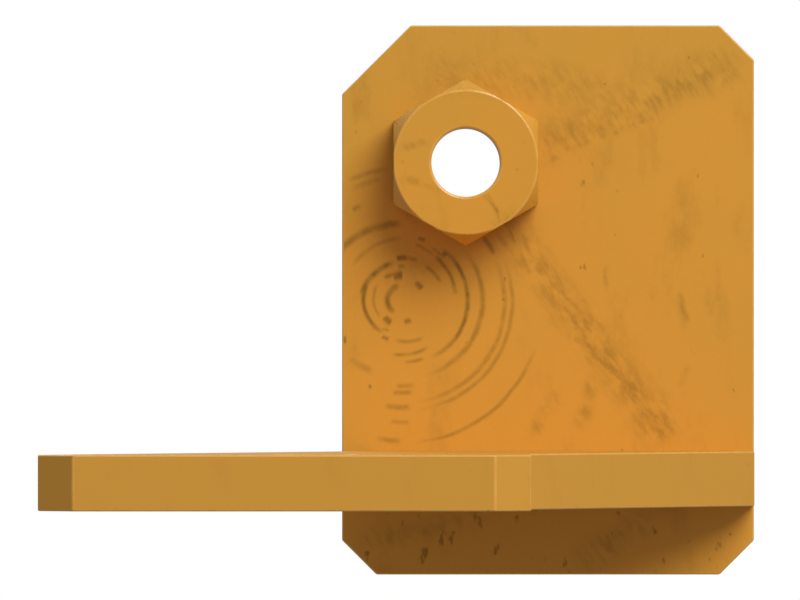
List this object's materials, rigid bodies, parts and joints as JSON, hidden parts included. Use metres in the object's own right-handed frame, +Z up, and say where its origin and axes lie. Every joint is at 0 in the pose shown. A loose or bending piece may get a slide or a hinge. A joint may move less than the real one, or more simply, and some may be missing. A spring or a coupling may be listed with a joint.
{
  "type": "excavator bucket tooth",
  "caption": "Bolt-on bucket tooth: upright plate with a hexagonal nut and open bore, and a flat leaning blade with a replaceable point held by a quarter-turn lock pin.",
  "frame": {"origin": "on the bolt bore's axis, in the plane of the mounting plate's back face", "axes": "+Z up the plate, +Y out of the plate's back face, so the blade points to -Y and leans to -X"},
  "size_m": [0.2062, 0.184, 0.16],
  "materials": {
    "orange_paint": "satin orange enamel, scraped and scuffed",
    "bare_steel": "machined bare steel",
    "dark_steel": "black oxide steel",
    "black_rubber": "matt nitrile rubber"
  },
  "bodies": {
    "tooth": {"mounting_plate": "orange_paint", "hex_nut": "orange_paint", "nut_anchor_pins": "bare_steel", "shear_bush": "bare_steel", "locating_dowels": "bare_steel", "tooth_shank": "orange_paint", "shank_screws": "dark_steel", "shank_lock_washers": "bare_steel", "screw_hole_plugs": "dark_steel", "tooth_point": "orange_paint", "rotation_stop_pin": "bare_steel", "friction_shoe": "bare_steel", "shoe_rubber": "black_rubber"},
    "pin": {"lock_pin": "bare_steel", "pin_seal_ring": "black_rubber", "key_socket_plug": "black_rubber"}
  },
  "joints": [
    {"name": "lock_pin_turn", "type": "hinge", "parent": "tooth", "child": "pin", "pos_m": [-0.044, -0.15, -0.092], "axis": [0, 0, 1], "range_deg": [0, 90]}
  ]
}
